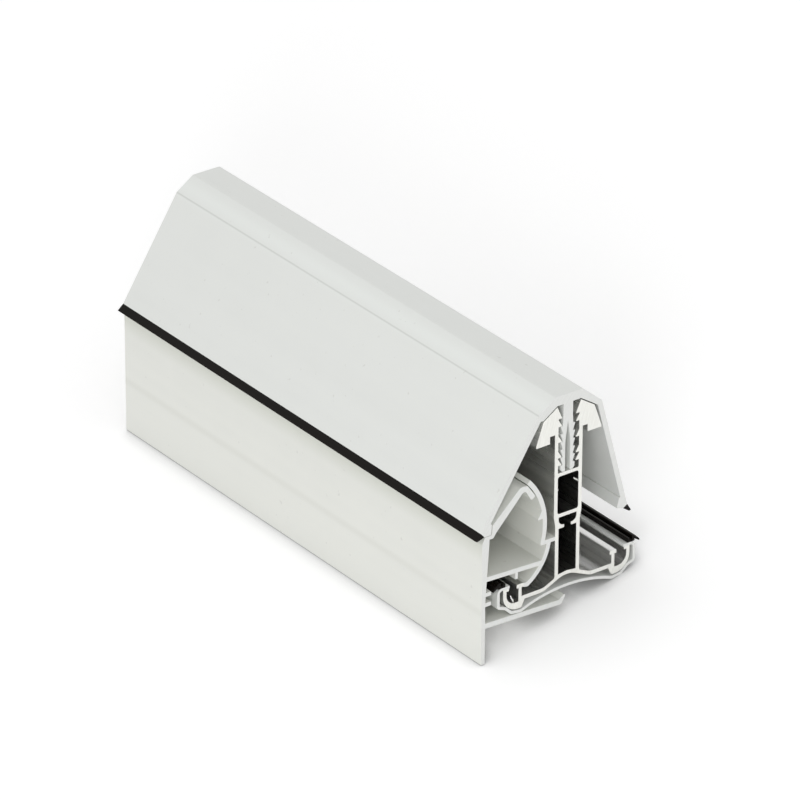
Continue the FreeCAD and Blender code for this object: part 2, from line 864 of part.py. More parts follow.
def closure_shelf(s):
    """The floor of the closure's chamber, from the board to the curved wall."""
    back = front_face(s) - s.board_wall / 2
    low = s.shelf_top - s.shelf_fall
    rim = on_level(lower_centre(s), lower_radius(s) - s.closure_wall / 2, low)
    return [(-back, s.shelf_top), (-back, s.shelf_top - s.shelf_wall),
            (rim, low - s.shelf_wall), (rim, low)]


def closure_drip(s):
    """The short leg that hangs from the shelf over the groove."""
    high = s.shelf_top - s.shelf_wall
    low = high - s.drip_depth
    outer = tee_edge(s) + s.drip_reach
    inner = outer - s.drip_wall
    return [(-outer, high), (-outer, low), (-inner, low), (-inner, high)]


def closure_fin(s):
    """The level rib that joins the two curved walls and bears on the bar's stem."""
    bearing = -s.stem_foot_width / 2
    high = s.fin_height + s.fin_thick
    inside = on_level(upper_centre(s), upper_radius(s) - s.closure_wall, high)
    return [(inside, s.fin_height), (bearing, s.fin_height), (bearing, high), (inside, high)]


def closure_heel(s):
    """The end of the lower curved wall, which rests against the tee of the bar's groove."""
    edge = -tee_edge(s)
    x, z = on_circle(lower_centre(s), lower_radius(s), s.lower_end_angle)
    high = z + s.closure_wall
    return [(edge, z + s.latch_play), (x, z), (x, high), (edge, high)]


def upper_centre(s):
    return (s.upper_centre_set_in - front_face(s), s.crown_height - s.upper_centre_drop)


def lower_centre(s):
    return (-tee_edge(s) - s.lower_centre_reach, s.lower_centre_height)


def upper_radius(s):
    """The upper curved wall passes the bar's stem with more room than the lower one."""
    return -upper_centre(s)[0] - s.stem_head_width / 2 - s.upper_wall_room


def lower_radius(s):
    """The lower curved wall passes the bar's stem with a little room."""
    return -lower_centre(s)[0] - s.stem_foot_width / 2 - s.lower_wall_room


def on_circle(centre, radius, angle):
    """A point at a distance and a slope from a centre."""
    return (centre[0] + radius * cosine(angle), centre[1] + radius * sine(angle))


def on_level(centre, radius, z):
    """How far right a circle reaches at a level."""
    rise = z - centre[1]
    return centre[0] + root(radius * radius - rise * rise)


def closure_arm(s, cap):
    """The arm that folds over from the hinge and hooks behind the top of the curved wall.

    Its root stands close inside the foot of the cap's left flank.
    """
    inside = upper_radius(s) - s.closure_wall - s.latch_play
    high_angle = latch_angle(s)
    low_angle = high_angle - s.latch_span_angle
    foot_level = cap.left.length - s.cap_foot_rise
    foot_low = on_flank(cap, -1, foot_level, s.cap_foot_width)
    foot_high = on_flank(cap, -1, foot_level - s.cap_foot_height, s.cap_wall + s.cap_rib)
    root_high = (foot_high[0] + s.latch_play, foot_high[1] - s.cap_rib)
    knee = on_circle(upper_centre(s), inside - s.arm_knee_inset, s.arm_knee_angle)
    slope = angle_of(knee[1] - root_high[1], knee[0] - root_high[0])
    across = s.arm_wall * sine(slope)
    down = s.arm_wall * cosine(slope)
    root_down = s.arm_root_wall * cosine(slope)
    board_face = -(front_face(s) - s.board_top_wall)
    in_board = board_face - s.board_wall / 2
    low = hinge_height(s) - s.latch_play
    return [
        (in_board, low),
        (in_board, s.crown_height),
        (foot_low[0] + s.latch_play, s.crown_height),
        root_high,
        (*knee, s.arm_knee_radius),
        on_circle(upper_centre(s), inside, high_angle),
        (*on_circle(upper_centre(s), inside, low_angle), s.latch_round),
        (*on_circle(upper_centre(s), inside - s.latch_hook, low_angle), s.latch_round),
        (knee[0] + across, knee[1] - down, s.arm_inner_radius),
        (root_high[0] + across, root_high[1] - root_down),
        (board_face + across, low),
    ]


def latch_angle(s):
    """The slope, seen from the upper wall's centre, at which the arm's hook begins."""
    return s.arm_knee_angle - s.latch_start_angle


def closure_tooth(s):
    """The ratchet tooth on the inner face of the curved wall."""
    centre = upper_centre(s)
    bedded = upper_radius(s) - s.closure_wall / 2
    tip = upper_radius(s) - s.closure_wall - s.ratchet_depth
    return [
        on_circle(centre, bedded, s.ratchet_low_angle),
        on_circle(centre, bedded, s.ratchet_low_angle + s.ratchet_span_angle),
        (*on_circle(centre, tip, s.ratchet_low_angle), s.nib_round),
    ]


def gable_closure(doc, s, cap):
    """The white closure that fills the left glazing rebate at a gable end."""
    sections = {
        "ClosureBoard": closure_board(s),
        "ClosureFoot": closure_foot(s),
        "ClosureHighProng": closure_prong(s, s.prong_high),
        "ClosureLowProng": closure_prong(s, s.prong_low),
        "ClosureShelf": closure_shelf(s),
        "ClosureDrip": closure_drip(s),
        "ClosureFin": closure_fin(s),
        "ClosureHeel": closure_heel(s),
        "ClosureArm": closure_arm(s, cap),
        "ClosureTooth": closure_tooth(s),
    }
    walls = [outline_bar(doc, name, corners, s.cut_length) for name, corners in sections.items()]
    fin_middle = s.fin_height + s.fin_thick / 2
    upper = upper_centre(s)
    lower = lower_centre(s)
    upper_start = arc_sine((fin_middle - upper[1]) / upper_radius(s))
    lower_stop = arc_sine((fin_middle - lower[1]) / lower_radius(s))
    walls.append(ring_bar(doc, "UpperWall", upper, upper_radius(s), s.closure_wall,
                          (upper_start, latch_angle(s) + s.upper_end_angle), s.cut_length))
    walls.append(ring_bar(doc, "LowerWall", lower, lower_radius(s), s.closure_wall,
                          (s.lower_end_angle, lower_stop), s.cut_length))
    return joined(doc, "GableClosure", walls)


def resting_turn(s):
    """The lean at which one level line meets the board's lower edge and the trough's round edge."""
    board = point(-(front_face(s) - s.board_wall).number, -s.board_bottom.number)
    before, corner, after = (point(x.number, z.number) for x, z, *_ in trough_corners(s)[:3])
    radius = s.cladding_corner_radius.number
    inward = unit(corner, before) + unit(corner, after)
    half_corner = unit(corner, before).getAngle(unit(corner, after)) / 2
    centre = corner + inward * (radius / math.sin(half_corner) / inward.Length)
    to_centre = math.atan2(centre.y - board.y, centre.x - board.x)
    return math.degrees(to_centre - math.asin(radius / board.distanceToPoint(centre)))


def stand_on_floor(pieces, turn):
    """Lean every piece by the same turn, and bring the middle of their footprint to the origin."""
    leaning = FreeCAD.Rotation(FreeCAD.Vector(0, 1, 0), turn)
    for piece in pieces.values():
        piece.Placement = FreeCAD.Placement(FreeCAD.Vector(), leaning)
    box = Part.makeCompound([piece.Shape for piece in pieces.values()]).optimalBoundingBox()
    shift = FreeCAD.Vector(-box.Center.x, -box.Center.y, -box.ZMin)
    for piece in pieces.values():
        piece.Placement = FreeCAD.Placement(shift, leaning)


def check_and_write(doc, pieces):
    """Stop if anything failed to build, then write each piece to a file of its own name."""
    for thing in doc.Objects:
        if "Invalid" in thing.State or "Error" in thing.State:
            raise RuntimeError(f"{thing.Name} did not build: {thing.State}")
    os.makedirs("parts", exist_ok=True)
    for name, piece in pieces.items():
        shape = piece.Shape
        if shape.isNull() or not shape.isValid() or len(shape.Solids) != 1:
            raise RuntimeError(f"{name} is not one sound solid")
        piece.Label = name
        shape.exportStep(f"parts/{name}.step")
        print(f"{name}: {shape.Volume:.0f} mm3, {len(shape.Faces)} faces")


def main():
    doc = FreeCAD.newDocument("rafter_bar")
    s = fill_sheet(doc)
    levels = bar_heights(s)
    cap = cap_levels(s, levels)
    pieces = {
        "aluminium_bar": aluminium_bar(doc, s, levels),
        "top_cap": top_cap(doc, s, levels, cap),
        "cap_lip_left": cap_lip(doc, s, cap, -1),
        "cap_lip_right": cap_lip(doc, s, cap, 1),
        "under_cladding": under_cladding(doc, s),
        "cladding_gasket_left": cladding_gasket(doc, s, -1),
        "cladding_gasket_right": cladding_gasket(doc, s, 1),
        "gable_closure": gable_closure(doc, s, cap),
    }
    doc.recompute()
    stand_on_floor(pieces, resting_turn(s))
    doc.recompute()
    check_and_write(doc, pieces)


main()
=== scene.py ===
# %% [markdown]
# A short length of glazing bar, dressed for its picture.
# The bar is three materials: sawn and extruded aluminium, white extruded plastic, and soft black sealing strip.
# The shapes come ready made, as a fixed frame of parts in metres. This lesson gives each part its finish, adds
# three small saw burrs, and then sets the floor, the lights and the camera.

# %% Load the frame
import math

import bpy
import numpy as np
from mathutils import Matrix, Vector


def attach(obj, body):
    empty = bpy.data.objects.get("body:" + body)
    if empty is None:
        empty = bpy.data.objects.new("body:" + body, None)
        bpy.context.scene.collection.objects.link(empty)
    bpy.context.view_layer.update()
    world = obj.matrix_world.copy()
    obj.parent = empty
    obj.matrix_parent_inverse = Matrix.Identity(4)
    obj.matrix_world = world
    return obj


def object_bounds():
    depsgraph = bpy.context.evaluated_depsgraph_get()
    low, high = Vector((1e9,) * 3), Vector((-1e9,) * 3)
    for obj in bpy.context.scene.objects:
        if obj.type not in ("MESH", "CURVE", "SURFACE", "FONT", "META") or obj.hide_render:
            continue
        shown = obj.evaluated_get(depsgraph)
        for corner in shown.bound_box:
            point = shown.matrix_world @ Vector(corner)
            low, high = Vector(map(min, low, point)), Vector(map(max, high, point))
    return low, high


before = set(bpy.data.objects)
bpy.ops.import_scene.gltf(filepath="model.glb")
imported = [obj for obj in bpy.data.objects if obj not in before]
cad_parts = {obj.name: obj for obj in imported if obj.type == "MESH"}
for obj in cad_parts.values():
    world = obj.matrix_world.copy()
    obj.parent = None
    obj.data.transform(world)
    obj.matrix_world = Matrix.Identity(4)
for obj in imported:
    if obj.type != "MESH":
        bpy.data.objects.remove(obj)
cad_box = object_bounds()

print("parts of the bar:", sorted(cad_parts))
print("lowest and highest corner:", cad_box)


# %% [markdown]
# Every finish on this bar comes from how the bar was made. A die draws fine lines along its whole length, and a
# saw leaves fine strokes over both ends. One helper starts a material and gives it back with its main shader, so
# that each finish below says only what is special about it. A second one adds a node in one line.

# %% Helpers for materials and nodes
def new_material(name, **plain_values):
    """A material with one Principled shader; plain_values sets the sockets that are the same all over."""
    material = bpy.data.materials.new(name)
    material.use_nodes = True
    shader = material.node_tree.nodes["Principled BSDF"]
    for socket, value in plain_values.items():
        shader.inputs[socket.replace("_", " ")].default_value = value
    return material, shader


def add_node(tree, kind, settings=None, values=None):
    """Add a node, set its own settings, and set the values of its unlinked inputs."""
    node = tree.nodes.new(kind)
    for name, value in (settings or {}).items():
        setattr(node, name, value)
    for name, value in (values or {}).items():
        node.inputs[name].default_value = value
    return node


# %% [markdown]
# Die lines are scratches that run the whole length of the bar. A noise pattern that is stretched 250 times along
# the bar gives them, with no image needed. The pattern is wanted on all three materials, coarse on the aluminium
# and faint on the plastic, so it is a node group whose input says how fine the lines are.
#
# A wave pattern would also do, but its lines are evenly spaced, and the lines of a worn die never are.

# %% The die lines, shared by every finish
ALONG_BAR_STRETCH = 250.0
BANDS_PER_METRE = 160.0


def make_die_lines():
    """Lines and Bands = fine and broad noise at (x, y / stretch, z), so that neither changes much along the bar."""
    tree = bpy.data.node_groups.new("die_lines", "ShaderNodeTree")
    tree.interface.new_socket("Lines Per Metre", in_out="INPUT", socket_type="NodeSocketFloat")
    tree.interface.new_socket("Lines", in_out="OUTPUT", socket_type="NodeSocketFloat")
    tree.interface.new_socket("Bands", in_out="OUTPUT", socket_type="NodeSocketFloat")
    start = tree.nodes.new("NodeGroupInput")
    end = tree.nodes.new("NodeGroupOutput")
    coordinates = add_node(tree, "ShaderNodeTexCoord")
    stretch = add_node(tree, "ShaderNodeVectorMath", {"operation": "MULTIPLY"})
    stretch.inputs[1].default_value = (1.0, 1.0 / ALONG_BAR_STRETCH, 1.0)
    fine = add_node(tree, "ShaderNodeTexNoise", values={"Detail": 3.0, "Roughness": 0.6})
    broad = add_node(tree, "ShaderNodeTexNoise", values={"Scale": BANDS_PER_METRE, "Detail": 1.0})
    tree.links.new(coordinates.outputs["Object"], stretch.inputs[0])
    for noise in (fine, broad):
        tree.links.new(stretch.outputs[0], noise.inputs["Vector"])
    tree.links.new(start.outputs["Lines Per Metre"], fine.inputs["Scale"])
    tree.links.new(fine.outputs["Fac"], end.inputs["Lines"])
    tree.links.new(broad.outputs["Fac"], end.inputs["Bands"])
    return tree


die_lines = make_die_lines()
print("made the group", die_lines.name)


# %% [markdown]
# A saw cut looks different from the skin beside it: brighter on metal, chalkier on plastic, with fine straight
# strokes. Both ends of the bar are square to its length, so a surface belongs to a cut where its normal points
# along the bar. That test works on every part, and a group gives it to each finish as a mask.

# %% The sawn ends, shared by every finish
FACES_ALONG_BAR = 0.9
STROKES_PER_METRE = 3800.0
STROKE_STRETCH = 0.03


def make_sawn_end():
    """Cut = 1 where |normal . y| > FACES_ALONG_BAR. Strokes = noise turned by an angle and stretched across it."""
    tree = bpy.data.node_groups.new("sawn_end", "ShaderNodeTree")
    tree.interface.new_socket("Stroke Angle", in_out="INPUT", socket_type="NodeSocketFloat")
    tree.interface.new_socket("Cut", in_out="OUTPUT", socket_type="NodeSocketFloat")
    tree.interface.new_socket("Strokes", in_out="OUTPUT", socket_type="NodeSocketFloat")
    start = tree.nodes.new("NodeGroupInput")
    end = tree.nodes.new("NodeGroupOutput")
    geometry = add_node(tree, "ShaderNodeNewGeometry")
    split = add_node(tree, "ShaderNodeSeparateXYZ")
    size = add_node(tree, "ShaderNodeMath", {"operation": "ABSOLUTE"})
    above = add_node(tree, "ShaderNodeMath", {"operation": "GREATER_THAN"})
    above.inputs[1].default_value = FACES_ALONG_BAR
    coordinates = add_node(tree, "ShaderNodeTexCoord")
    turn = add_node(tree, "ShaderNodeVectorRotate", {"rotation_type": "Y_AXIS"})
    stretch = add_node(tree, "ShaderNodeVectorMath", {"operation": "MULTIPLY"})
    stretch.inputs[1].default_value = (STROKE_STRETCH, 1.0, 1.0)
    strokes = add_node(tree, "ShaderNodeTexNoise", values={
        "Scale": STROKES_PER_METRE, "Detail": 3.0, "Roughness": 0.65})
    tree.links.new(geometry.outputs["True Normal"], split.inputs[0])
    tree.links.new(split.outputs["Y"], size.inputs[0])
    tree.links.new(size.outputs[0], above.inputs[0])
    tree.links.new(above.outputs[0], end.inputs["Cut"])
    tree.links.new(coordinates.outputs["Object"], turn.inputs["Vector"])
    tree.links.new(start.outputs["Stroke Angle"], turn.inputs["Angle"])
    tree.links.new(turn.outputs[0], stretch.inputs[0])
    tree.links.new(stretch.outputs[0], strokes.inputs["Vector"])
    tree.links.new(strokes.outputs["Fac"], end.inputs["Strokes"])
    return tree


sawn_end = make_sawn_end()
print("made the group", sawn_end.name)


# %% [markdown]
# Some painted light and shade belongs to one place of the section, such as a crease. The bar rests leaning on one
# edge, so a place is first turned upright. There x is the distance from the middle of the bar, and z the height
# over its base.

# %% Places in the upright section
LEAN = math.radians(15.0914)
SECTION_ORIGIN = np.array([0.00525, 0.01455])


def upright_place(tree):
    """A point in the upright section, in metres: its place less the origin, turned back by the lean."""
    coordinates = add_node(tree, "ShaderNodeTexCoord")
    shift = add_node(tree, "ShaderNodeVectorMath", {"operation": "SUBTRACT"})
    shift.inputs[1].default_value = (SECTION_ORIGIN[0], 0.0, SECTION_ORIGIN[1])
    upright = add_node(tree, "ShaderNodeVectorRotate", {"rotation_type": "Y_AXIS"}, {"Angle": -LEAN})
    tree.links.new(coordinates.outputs["Object"], shift.inputs[0])
    tree.links.new(shift.outputs[0], upright.inputs["Vector"])
    return upright.outputs[0]


# %% [markdown]
# The stem of the bar is hollow, and little light falls into its two closed chambers from the sides. Their shade is
# painted into the aluminium's colour: a third group finds them by their distance from the middle of the stem.

# %% Painted shade in the closed chambers
def make_chamber_mask(half_width, top):
    """Inside = 1 where |x| < half_width and z < top, with x and z in the upright section, in metres."""
    tree = bpy.data.node_groups.new("chamber_shade_mask", "ShaderNodeTree")
    tree.interface.new_socket("Inside", in_out="OUTPUT", socket_type="NodeSocketFloat")
    end = tree.nodes.new("NodeGroupOutput")
    split = add_node(tree, "ShaderNodeSeparateXYZ")
    distance = add_node(tree, "ShaderNodeMath", {"operation": "ABSOLUTE"})
    beside = add_node(tree, "ShaderNodeMath", {"operation": "LESS_THAN"})
    beside.inputs[1].default_value = half_width
    below = add_node(tree, "ShaderNodeMath", {"operation": "LESS_THAN"})
    below.inputs[1].default_value = top
    both = add_node(tree, "ShaderNodeMath", {"operation": "MULTIPLY"})
    tree.links.new(upright_place(tree), split.inputs[0])
    tree.links.new(split.outputs["X"], distance.inputs[0])
    tree.links.new(distance.outputs[0], beside.inputs[0])
    tree.links.new(split.outputs["Z"], below.inputs[0])
    tree.links.new(beside.outputs[0], both.inputs[0])
    tree.links.new(below.outputs[0], both.inputs[1])
    tree.links.new(both.outputs[0], end.inputs["Inside"])
    return tree


chamber_shade_mask = make_chamber_mask(half_width=0.0050, top=0.0405)
print("made the group", chamber_shade_mask.name)


# %% [markdown]
# Light and shade also fall along the bar at one place: a dark line in a crease, a shadow under a lip, a paler facet
# that faces the light. They are painted into the plastic's colour. A fourth group draws one such painted mark: it
# is strongest on a line along the bar, and fades out within a radius.

# %% Painted light and shade along the bar
def make_painted_shading_along_bar():
    """Near = 1 on the line (x, z) of the upright section, falling smoothly to 0 at the radius."""
    tree = bpy.data.node_groups.new("painted_shading_along_bar", "ShaderNodeTree")
    for name in ("Across", "Height", "Radius"):
        tree.interface.new_socket(name, in_out="INPUT", socket_type="NodeSocketFloat")
    tree.interface.new_socket("Near", in_out="OUTPUT", socket_type="NodeSocketFloat")
    start = tree.nodes.new("NodeGroupInput")
    end = tree.nodes.new("NodeGroupOutput")
    flatten = add_node(tree, "ShaderNodeVectorMath", {"operation": "MULTIPLY"})
    flatten.inputs[1].default_value = (1.0, 0.0, 1.0)
    centre = add_node(tree, "ShaderNodeCombineXYZ")
    apart = add_node(tree, "ShaderNodeVectorMath", {"operation": "DISTANCE"})
    fade = add_node(tree, "ShaderNodeMapRange", {"interpolation_type": "SMOOTHSTEP"}, {
        "From Min": 0.0, "To Min": 1.0, "To Max": 0.0})
    tree.links.new(upright_place(tree), flatten.inputs[0])
    tree.links.new(start.outputs["Across"], centre.inputs["X"])
    tree.links.new(start.outputs["Height"], centre.inputs["Z"])
    tree.links.new(flatten.outputs[0], apart.inputs[0])
    tree.links.new(centre.outputs[0], apart.inputs[1])
    tree.links.new(apart.outputs["Value"], fade.inputs["Value"])
    tree.links.new(start.outputs["Radius"], fade.inputs["From Max"])
    tree.links.new(fade.outputs["Result"], end.inputs["Near"])
    return tree


painted_shading_along_bar = make_painted_shading_along_bar()
print("made the group", painted_shading_along_bar.name)


# %% [markdown]
# Four small helpers place a group, stretch a value to a range, blend two values or two colours by a mask, and turn
# a height into a bump. With them a finish reads as a few plain sentences.

# %% Helpers that place groups, blend and emboss
def place_group(tree, group, **values):
    """A copy of a shared group in this material, with its own input values."""
    node = add_node(tree, "ShaderNodeGroup", {"node_tree": group})
    for name, value in values.items():
        node.inputs[name.replace("_", " ")].default_value = value
    return node


def ranged(tree, source, low, high, start=0.3, stop=0.7):
    """A value that runs from low to high while the source runs from start to stop, and holds outside."""
    node = add_node(tree, "ShaderNodeMapRange", values={
        "From Min": start, "From Max": stop, "To Min": low, "To Max": high})
    tree.links.new(source, node.inputs["Value"])
    return node.outputs["Result"]


def blended(tree, mask, off, on, kind="RGBA"):
    """Off where the mask is 0 and on where it is 1; each may be a plain value or a link.

    A Mix node has sockets for every kind of data: colours use inputs 6 and 7 and output 2, numbers 2, 3 and 0.
    """
    node = add_node(tree, "ShaderNodeMix", {"data_type": kind})
    first, second, out = (6, 7, 2) if kind == "RGBA" else (2, 3, 0)
    tree.links.new(mask, node.inputs[0])
    for index, value in ((first, off), (second, on)):
        if isinstance(value, bpy.types.NodeSocket):
            tree.links.new(value, node.inputs[index])
        else:
            node.inputs[index].default_value = value
    return node.outputs[out]


LINE_DEPTH = 0.00005


def emboss(tree, shader, height, strength):
    """Bump the surface by a height that counts 1 as LINE_DEPTH metres, at a strength from 0 to 1."""
    bump = add_node(tree, "ShaderNodeBump", values={"Strength": strength, "Distance": LINE_DEPTH})
    tree.links.new(height, bump.inputs["Height"])
    tree.links.new(bump.outputs[0], shader.inputs["Normal"])


# %% [markdown]
# The aluminium is left as the die and the saw made it. Its skin is grey with streaks along the bar, from dull to
# bright, and its cut ends are clean bright metal with saw strokes across them. A bump from the same lines breaks
# up the reflections, as the real lines do. Inside the closed chambers the skin carries painted shade, a darker
# grey.

# %% Extruded aluminium
DULL_SKIN, BRIGHT_SKIN = (0.55, 0.55, 0.54, 1), (0.96, 0.96, 0.94, 1)
# Painted shade: the darker grey inside the closed chambers stands in for the shade there, where little light falls
# in.
CHAMBER_PAINTED_SHADE = (0.36, 0.36, 0.34, 1)
DULL_CUT, BRIGHT_CUT = (0.76, 0.76, 0.72, 1), (0.92, 0.92, 0.88, 1)
CUT_ROUGHNESS = 0.5


def make_aluminium():
    """Colour, roughness and bump follow the die lines on the skin, and the saw strokes on the cuts; the colour also
    carries painted shade in the closed chambers.
    """
    material, shader = new_material("extruded_aluminium", Metallic=1.0)
    tree = material.node_tree
    lines = place_group(tree, die_lines, Lines_Per_Metre=2600.0)
    cut = place_group(tree, sawn_end, Stroke_Angle=math.radians(62))
    open_grey = blended(tree, ranged(tree, lines.outputs["Bands"], 0.0, 1.0), DULL_SKIN, BRIGHT_SKIN)
    inside = place_group(tree, chamber_shade_mask).outputs["Inside"]
    # Painted shade: the skin turns darker grey inside the closed chambers.
    skin_grey_and_painted_shade = blended(tree, inside, open_grey, CHAMBER_PAINTED_SHADE)
    skin_rough = ranged(tree, lines.outputs["Lines"], 0.22, 0.42)
    cut_grey = blended(tree, ranged(tree, cut.outputs["Strokes"], 0.0, 1.0), DULL_CUT, BRIGHT_CUT)
    mask = cut.outputs["Cut"]
    tree.links.new(blended(tree, mask, skin_grey_and_painted_shade, cut_grey), shader.inputs["Base Color"])
    tree.links.new(blended(tree, mask, skin_rough, CUT_ROUGHNESS, "FLOAT"), shader.inputs["Roughness"])
    height = blended(tree, mask, lines.outputs["Lines"], cut.outputs["Strokes"], "FLOAT")
    emboss(tree, shader, height, strength=0.35)
    return material


aluminium = make_aluminium()
print("made", aluminium.name)


# %% [markdown]
# The white plastic is smooth, with a soft sheen, faint clouds and faint bands along the bar, where the die was not
# quite even. A few specks sit on it, and its sawn ends are rougher. The pieces come from different runs: the
# closure with the front board is a little warmer than the cool white of the cap and the cladding.
#
# The function below makes such a white from its two colours and its list of painted light and shade, so both runs
# can use it.

# %% White extruded plastic
SPECK = (0.60, 0.60, 0.57, 1)
DULL_SAWN, PALE_SAWN = (0.71, 0.72, 0.70, 1), (0.78, 0.79, 0.77, 1)
SAWN_ROUGHNESS = 0.6


def make_white_plastic(name, dull, pale, painted_shading):
    """White = dull to pale by bands and clouds, then the colour of each painted light and shade near its line, then
    the specks.
    """
    material, shader = new_material(name, IOR=1.5)
    tree = material.node_tree
    lines = place_group(tree, die_lines, Lines_Per_Metre=900.0)
    cut = place_group(tree, sawn_end, Stroke_Angle=math.radians(35))
    coordinates = add_node(tree, "ShaderNodeTexCoord")
    speck_noise = add_node(tree, "ShaderNodeTexNoise", values={"Scale": 420.0, "Detail": 2.0})
    cloud_noise = add_node(tree, "ShaderNodeTexNoise", values={"Scale": 45.0, "Detail": 3.0})
    for noise in (speck_noise, cloud_noise):
        tree.links.new(coordinates.outputs["Object"], noise.inputs["Vector"])
    specks = ranged(tree, speck_noise.outputs["Fac"], 0.0, 0.5, start=0.71, stop=0.76)
    banded = blended(tree, ranged(tree, lines.outputs["Bands"], 0.2, 0.8), dull, pale)
    skin = blended(tree, ranged(tree, cloud_noise.outputs["Fac"], 0.0, 0.7), banded, pale)
    # Painted light and shade: each one lays its colour over the skin near its line along the bar.
    for across, up, radius, colour in painted_shading:
        shading_mark = place_group(tree, painted_shading_along_bar, Across=across / 1000, Height=up / 1000, Radius=radius / 1000)
        skin = blended(tree, shading_mark.outputs["Near"], skin, colour)
    spotted = blended(tree, specks, skin, SPECK)
    mask = cut.outputs["Cut"]
    sawn = blended(tree, ranged(tree, cut.outputs["Strokes"], 0.0, 1.0), DULL_SAWN, PALE_SAWN)
    tree.links.new(blended(tree, mask, spotted, sawn), shader.inputs["Base Color"])
    skin_rough = ranged(tree, lines.outputs["Bands"], 0.40, 0.46)
    tree.links.new(blended(tree, mask, skin_rough, SAWN_ROUGHNESS, "FLOAT"), shader.inputs["Roughness"])
    height = blended(tree, mask, lines.outputs["Lines"], cut.outputs["Strokes"], "FLOAT")
    emboss(tree, shader, height, strength=0.04)
    return material


# %% [markdown]
# Two are painted on the cap: painted light on the facet next to its flat top, and a fine painted shade line in the
# crease below that facet. Two more are painted on the board: a soft painted shade halfway down, and a broad painted
# shadow under the lip near its upper edge. Each is written as its place in the section and its radius, in
# millimetres, and its colour. Where two overlap, the later one wins.

# %% The two whites and their painted light and shade
# Painted light on the facet next to the flat top, and painted shade in the crease below it.
CAP_PAINTED_LIGHT_AND_SHADE = [(-10.4, 68.9, 6.0, (0.785, 0.807, 0.78, 1)),
             (-13.45, 66.85, 0.55, (0.62, 0.64, 0.61, 1))]
# Painted shade halfway down the board, and a painted shadow under the lip near its upper edge.
BOARD_PAINTED_SHADE = [(-37.7, -4.1, 2.4, (0.73, 0.737, 0.69, 1)),
               (-37.7, 23.0, 8.0, (0.69, 0.705, 0.64, 1))]
cool_plastic = make_white_plastic("cool_white_plastic", dull=(0.725, 0.740, 0.715, 1),
                                  pale=(0.755, 0.77, 0.744, 1), painted_shading=CAP_PAINTED_LIGHT_AND_SHADE)
warm_plastic = make_white_plastic("warm_white_plastic", dull=(0.742, 0.752, 0.71, 1),
                                  pale=(0.782, 0.79, 0.744, 1), painted_shading=BOARD_PAINTED_SHADE)
print("made", cool_plastic.name, "and", warm_plastic.name)


# %% [markdown]
# The sealing strip is soft and nearly black. It has a faint sheen along its ridges, and fine dust dulls it in long
# streaks.

# %% Black sealing strip
CLEAN_STRIP, DUSTY_STRIP = (0.004, 0.003, 0.002, 1), (0.009, 0.007, 0.006, 1)


def make_black_strip():
    """Near black, with streaks of dust along the bar and a roughness that follows them."""
    material, shader = new_material("black_sealing_strip", Specular_IOR_Level=0.10)
    tree = material.node_tree
    lines = place_group(tree, die_lines, Lines_Per_Metre=1500.0)
    dusty = ranged(tree, lines.outputs["Lines"], 0.0, 1.0, start=0.45, stop=0.8)
    tree.links.new(blended(tree, dusty, CLEAN_STRIP, DUSTY_STRIP), shader.inputs["Base Color"])
    tree.links.new(ranged(tree, lines.outputs["Lines"], 0.25, 0.45), shader.inputs["Roughness"])
    emboss(tree, shader, lines.outputs["Lines"], strength=0.2)
    return material


black_strip = make_black_strip()
print("made", black_strip.name)


# %% [markdown]
# The shapes are right as they come, so each part keeps its own mesh, and only its material is exchanged.

# %% Give each part its finish
FINISHES = {
    "aluminium_bar": aluminium,
    "top_cap": cool_plastic,
    "under_cladding": cool_plastic,
    "gable_closure": warm_plastic,
    "cap_lip_left": black_strip,
    "cap_lip_right": black_strip,
    "cladding_gasket_left": black_strip,
    "cladding_gasket_right": black_strip,
}
for node_name, finish in FINISHES.items():
    for material_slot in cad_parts[node_name].material_slots:
        material_slot.material = finish
    print(node_name, "is", finish.name)


# %% [markdown]
# The saw has also left three small burrs on the near end of the aluminium: two in the bolt chamber, where the
# blade left the wall, and a bright sliver that hangs in the left groove. They are too small and too chancy to
# belong to the fixed shapes, so they are made here.
#
# Their places are easiest to read in the upright section, so a first function leans such places with the bar. It
# does the opposite of the node group that turned a place upright.

# %% From the upright section to the leaning bar
def from_section(places):
    """Section millimetres to metres: (x cos L + z sin L, z cos L - x sin L) with the lean L, plus the origin."""
    x, z = np.asarray(places).T / 1000.0
    leaning_x = x * math.cos(LEAN) + z * math.sin(LEAN)
    leaning_z = z * math.cos(LEAN) - x * math.sin(LEAN)
    return np.stack([leaning_x, leaning_z], axis=1) + SECTION_ORIGIN


print("the middle of the bar's base lies at", from_section([(0.0, 0.0)])[0])


# %% [markdown]
# Each burr is a short bent wire that grows thinner towards its tip: a circle whose radius changes while it is
# carried along a path. A curve with a bevel would do as well, but it has to be turned into a mesh before its place
# is applied. Rings worked out on a grid are a mesh from the start.
#
# The path lies in the plane of the saw cut, so a ring needs only two directions: the one that is square to the path
# in that plane, and the length of the bar. A fan of triangles closes each end.

# %% A bent wire in the plane of the cut
NEAR_END = cad_box[0][1]


